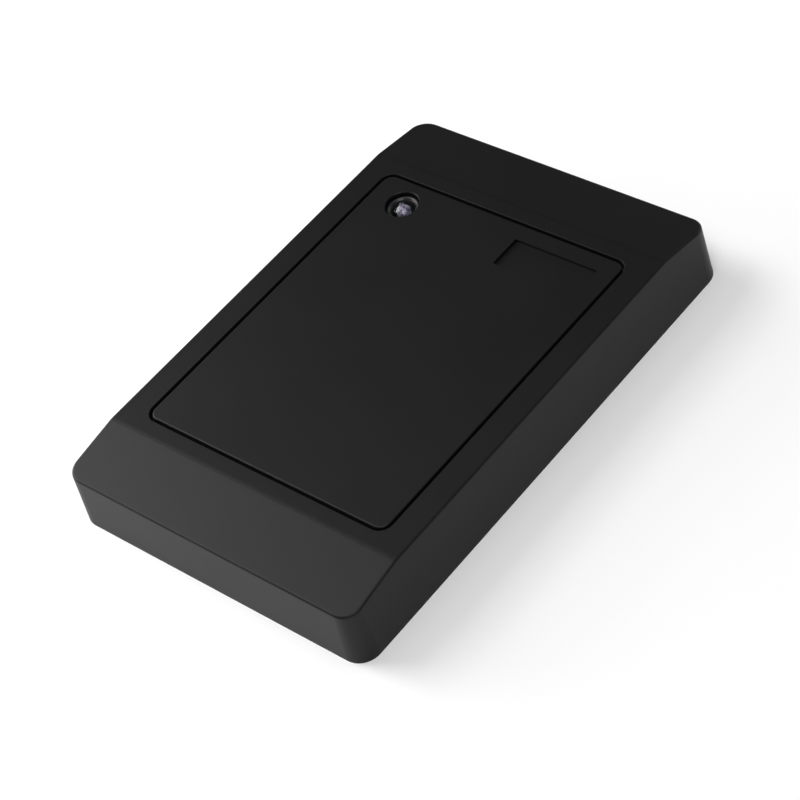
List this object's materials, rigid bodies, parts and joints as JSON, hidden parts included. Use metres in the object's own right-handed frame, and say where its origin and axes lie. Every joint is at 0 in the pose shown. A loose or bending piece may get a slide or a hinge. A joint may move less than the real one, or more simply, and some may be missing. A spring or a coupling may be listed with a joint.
{
  "type": "rfid card reader",
  "caption": "Slim wall-mounted proximity card reader with sloped ends, a snap-in faceplate, a status light and a blank label recess.",
  "frame": {"origin": "centre of the back, on the wall plane", "axes": "+Z out of the wall through the reading face, +Y up the length towards the status light, +X to the right of a person facing the reader"},
  "size_m": [0.076, 0.115, 0.015],
  "materials": {
    "case_plastic": "matte black textured ABS",
    "faceplate_plastic": "matte black textured ABS",
    "cover_plastic": "matte black ABS",
    "gasket_foam": "matte closed-cell rubber",
    "grommet_rubber": "matte rubber",
    "label_film": "satin silver polyester label",
    "screw_steel": "zinc-plated",
    "copper_wire": "gloss enamelled copper",
    "coil_tape": "gloss amber polyimide tape",
    "glue": "satin hot-melt glue",
    "led_epoxy": "clear epoxy",
    "led_frame": "tin-plated",
    "bezel_plastic": "gloss black",
    "board_laminate": "satin green solder mask on glass-fibre laminate",
    "solder": "bright solder",
    "chip_epoxy": "matte moulded epoxy",
    "tinned_pins": "tin-plated",
    "can_steel": "satin nickel-plated can",
    "can_aluminium": "satin aluminium can",
    "base_plastic": "matte black",
    "resistor_ceramic": "black glazed alumina",
    "capacitor_ceramic": "tan ceramic",
    "buzzer_plastic": "matte black",
    "header_plastic": "natural nylon"
  },
  "bodies": {
    "reader": {"front_shell": "case_plastic", "back_cover": "cover_plastic", "rear_gasket": "gasket_foam", "cable_grommet": "grommet_rubber", "rating_label": "label_film", "cover_screws": "screw_steel", "board_screws": "screw_steel", "antenna_coil": "copper_wire", "coil_tape_wraps": "coil_tape", "coil_leads": "copper_wire", "coil_glue_beads": "glue", "led_leads": "led_frame", "led_lens": "led_epoxy", "led_bezel": "bezel_plastic", "circuit_board": "board_laminate", "solder_joints": "solder", "crystal": "can_steel", "microcontroller": "chip_epoxy", "microcontroller_pins": "tinned_pins", "reader_chip": "chip_epoxy", "reader_chip_pins": "tinned_pins", "voltage_regulator": "chip_epoxy", "regulator_tab": "tinned_pins", "capacitor_cans": "can_aluminium", "capacitor_bases": "base_plastic", "buzzer": "buzzer_plastic", "buzzer_pins": "tinned_pins", "wire_header": "header_plastic", "wire_header_pins": "tinned_pins", "driver_transistors": "chip_epoxy", "transistor_legs": "tinned_pins", "protection_diode": "chip_epoxy", "diode_tabs": "tinned_pins", "chip_resistors": "resistor_ceramic", "chip_capacitors": "capacitor_ceramic", "chip_end_caps": "tinned_pins"},
    "faceplate": {"faceplate": "faceplate_plastic"}
  },
  "joints": [
    {"name": "faceplate_lift", "type": "slide", "parent": "reader", "child": "faceplate", "axis": [0, 0, 1], "range_m": [0, 0.02]}
  ]
}
